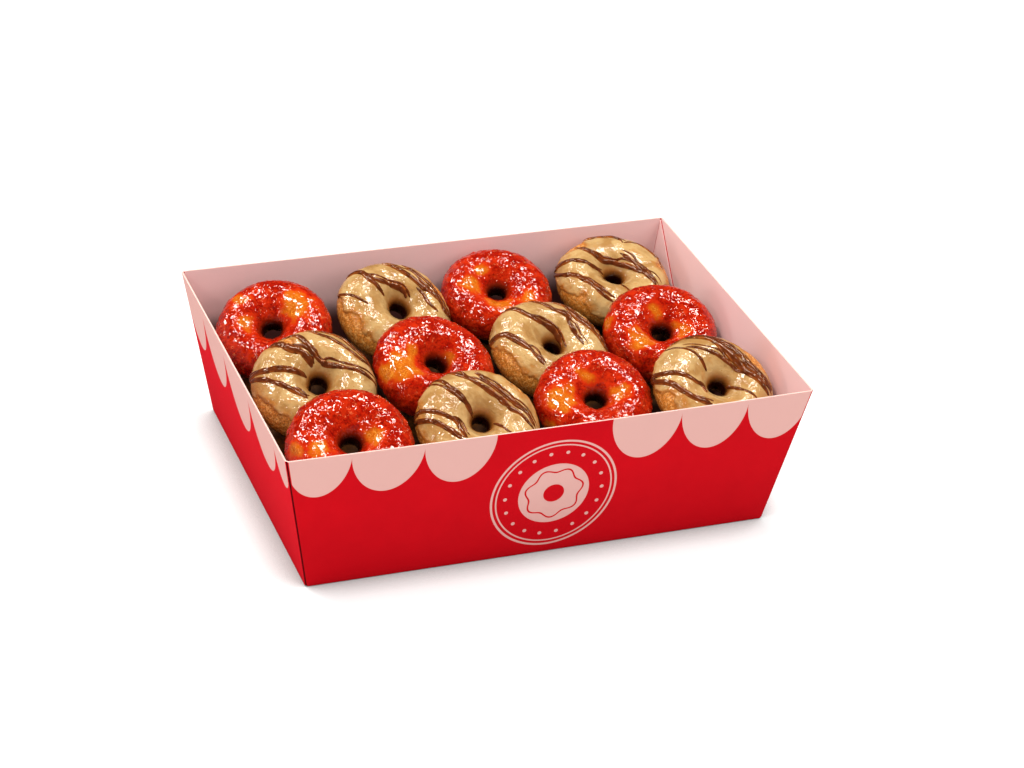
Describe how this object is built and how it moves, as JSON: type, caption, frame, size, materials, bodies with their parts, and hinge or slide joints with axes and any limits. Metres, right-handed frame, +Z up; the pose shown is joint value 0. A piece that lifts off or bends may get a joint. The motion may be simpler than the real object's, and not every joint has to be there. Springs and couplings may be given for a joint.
{
  "type": "box of doughnuts",
  "caption": "Open takeaway carton tray with sloping sides, packed with small ring doughnuts that have jelly glaze or caramel icing with chocolate lines.",
  "frame": {"origin": "middle of the tray's base, on the surface it stands on", "axes": "+X along the tray's long side to the right, +Z up, -Y towards the tray's front wall"},
  "size_m": [0.26, 0.1892, 0.0788],
  "materials": {
    "printed_board": "satin",
    "jelly_glaze": "gloss",
    "caramel_icing": "gloss",
    "fried_dough": "satin"
  },
  "bodies": {
    "root": {"tray": "printed_board", "layer_below": "fried_dough", "doughnut_back_1": "jelly_glaze", "doughnut_back_2": "caramel_icing", "doughnut_back_3": "jelly_glaze", "doughnut_back_4": "caramel_icing", "doughnut_middle_1": "caramel_icing", "doughnut_middle_2": "jelly_glaze", "doughnut_middle_3": "caramel_icing", "doughnut_middle_4": "jelly_glaze", "doughnut_front_1": "jelly_glaze", "doughnut_front_2": "caramel_icing", "doughnut_front_3": "jelly_glaze", "doughnut_front_4": "caramel_icing"}
  },
  "joints": []
}
